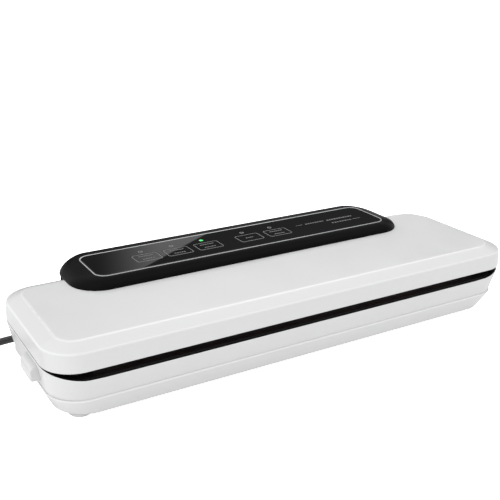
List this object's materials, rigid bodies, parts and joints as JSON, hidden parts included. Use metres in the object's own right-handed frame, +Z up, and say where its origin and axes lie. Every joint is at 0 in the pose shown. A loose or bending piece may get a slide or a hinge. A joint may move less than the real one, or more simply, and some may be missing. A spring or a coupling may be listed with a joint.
{
  "type": "vacuum sealer",
  "caption": "Countertop food vacuum sealer with a hinged lid, a front bag slot, side release buttons, a glossy key panel and a mains cord.",
  "frame": {"origin": "centre of the machine on the table, without its free cord", "axes": "+X along the length to the right, +Y from the bag slot to the hinge, +Z up"},
  "size_m": [0.5068, 0.1871, 0.0642],
  "materials": {
    "white_shell": "satin gloss",
    "inner_white": "satin",
    "deck_black": "satin",
    "inner_grey": "satin",
    "foot_light": "matte",
    "button_white": "satin gloss",
    "housing_black": "satin",
    "rear_grey": "satin",
    "panel_black": "high gloss",
    "key_black": "high gloss",
    "trim_silver": "polished",
    "light_lit": "clear, lit green",
    "light_dark": "clear, unlit",
    "bar_alloy": "extruded",
    "heater_steel": "rolled",
    "tape_brown": "coated glass cloth",
    "gasket_foam": "matte foam",
    "strip_red": "matte silicone",
    "motor_steel": "zinc plated",
    "shaft_steel": "ground",
    "pump_black": "satin",
    "hose_silicone": "translucent silicone",
    "valve_body": "satin",
    "board_green": "solder mask",
    "core_steel": "lacquered laminations",
    "capacitor_sleeve": "printed sleeve",
    "relay_blue": "satin",
    "sink_aluminium": "anodised",
    "fuse_white": "matte",
    "switch_glass": "clear",
    "magnet_nickel": "nickel plated",
    "screw_steel": "zinc plated",
    "pin_steel": "ground",
    "spring_steel": "drawn wire",
    "filter_foam": "open foam",
    "cord_black": "satin",
    "plug_black": "satin",
    "blade_nickel": "nickel plated",
    "tie_black": "satin",
    "switch_black": "satin"
  },
  "bodies": {
    "base": {"base_top_case": "white_shell", "base_deck": "deck_black", "base_bottom_case": "white_shell", "foot_front_left": "foot_light", "foot_front_right": "foot_light", "foot_rear_left": "foot_light", "foot_rear_right": "foot_light", "hinge_pins": "pin_steel", "case_screws": "screw_steel", "heating_bar": "bar_alloy", "heating_element": "heater_steel", "release_tape": "tape_brown", "vacuum_trough": "deck_black", "port_filter": "filter_foam", "lower_gasket": "gasket_foam", "pump_motor": "motor_steel", "pump_head": "pump_black", "release_valve": "valve_body", "main_board": "board_green", "transformer": "core_steel", "capacitors": "capacitor_sleeve", "heater_relay": "relay_blue", "heat_sink": "sink_aluminium", "thermal_fuse": "fuse_white", "reed_switch": "switch_glass", "vacuum_hose": "hose_silicone", "button_spring_left": "spring_steel", "button_spring_right": "spring_steel", "strain_relief": "cord_black", "cord_clamp": "inner_grey", "power_cord": "cord_black", "cord_tail": "cord_black", "cord_coil": "cord_black", "cord_tie": "tie_black", "plug_body": "plug_black", "plug_blades": "blade_nickel"},
    "lid": {"upper_gasket": "gasket_foam", "lid_shell": "white_shell", "lid_liner": "deck_black", "pressing_strip": "strip_red", "lid_magnet": "magnet_nickel", "liner_screws": "screw_steel", "latch_hook_left": "inner_white", "latch_hook_right": "inner_white", "lid_rear_cover": "rear_grey", "control_housing": "housing_black", "panel_trim": "trim_silver", "control_panel": "panel_black", "light_pipe_lit": "light_lit", "light_pipes": "light_dark", "control_board": "board_green", "tact_switches": "switch_black"},
    "pump_crank": {"pump_crank": "shaft_steel"},
    "release_button_left": {"release_button_left": "button_white"},
    "release_button_right": {"release_button_right": "button_white"},
    "key_power": {"key_power": "key_black"},
    "key_vacuum": {"key_vacuum": "key_black"},
    "key_seal": {"key_seal": "key_black"},
    "key_pulse": {"key_pulse": "key_black"},
    "key_mode": {"key_mode": "key_black"}
  },
  "joints": [
    {"name": "lid_hinge", "type": "hinge", "parent": "base", "child": "lid", "pos_m": [0, 0.0645, 0.04], "axis": [-1, 0, 0], "range_deg": [0, 75]},
    {"name": "pump_spin", "type": "hinge", "parent": "base", "child": "pump_crank", "pos_m": [0.07, 0.017, 0.0189], "axis": [1, 0, 0], "continuous": true},
    {"name": "release_left_press", "type": "slide", "parent": "base", "child": "release_button_left", "axis": [1, 0, 0], "range_m": [0, 0.003], "stiffness_N_per_m": 500, "springref_m": -0.001, "deforming": ["button_spring_left"]},
    {"name": "release_right_press", "type": "slide", "parent": "base", "child": "release_button_right", "axis": [-1, 0, 0], "range_m": [0, 0.003], "stiffness_N_per_m": 500, "springref_m": -0.001, "deforming": ["button_spring_right"]},
    {"name": "key_power_press", "type": "slide", "parent": "lid", "child": "key_power", "axis": [0, 0, -1], "range_m": [0, 0.0005], "stiffness_N_per_m": 1500, "springref_m": -0.0002},
    {"name": "key_vacuum_press", "type": "slide", "parent": "lid", "child": "key_vacuum", "axis": [0, 0, -1], "range_m": [0, 0.0005], "stiffness_N_per_m": 1500, "springref_m": -0.0002},
    {"name": "key_seal_press", "type": "slide", "parent": "lid", "child": "key_seal", "axis": [0, 0, -1], "range_m": [0, 0.0005], "stiffness_N_per_m": 1500, "springref_m": -0.0002},
    {"name": "key_pulse_press", "type": "slide", "parent": "lid", "child": "key_pulse", "axis": [0, 0, -1], "range_m": [0, 0.0005], "stiffness_N_per_m": 1500, "springref_m": -0.0002},
    {"name": "key_mode_press", "type": "slide", "parent": "lid", "child": "key_mode", "axis": [0, 0, -1], "range_m": [0, 0.0005], "stiffness_N_per_m": 1500, "springref_m": -0.0002}
  ]
}
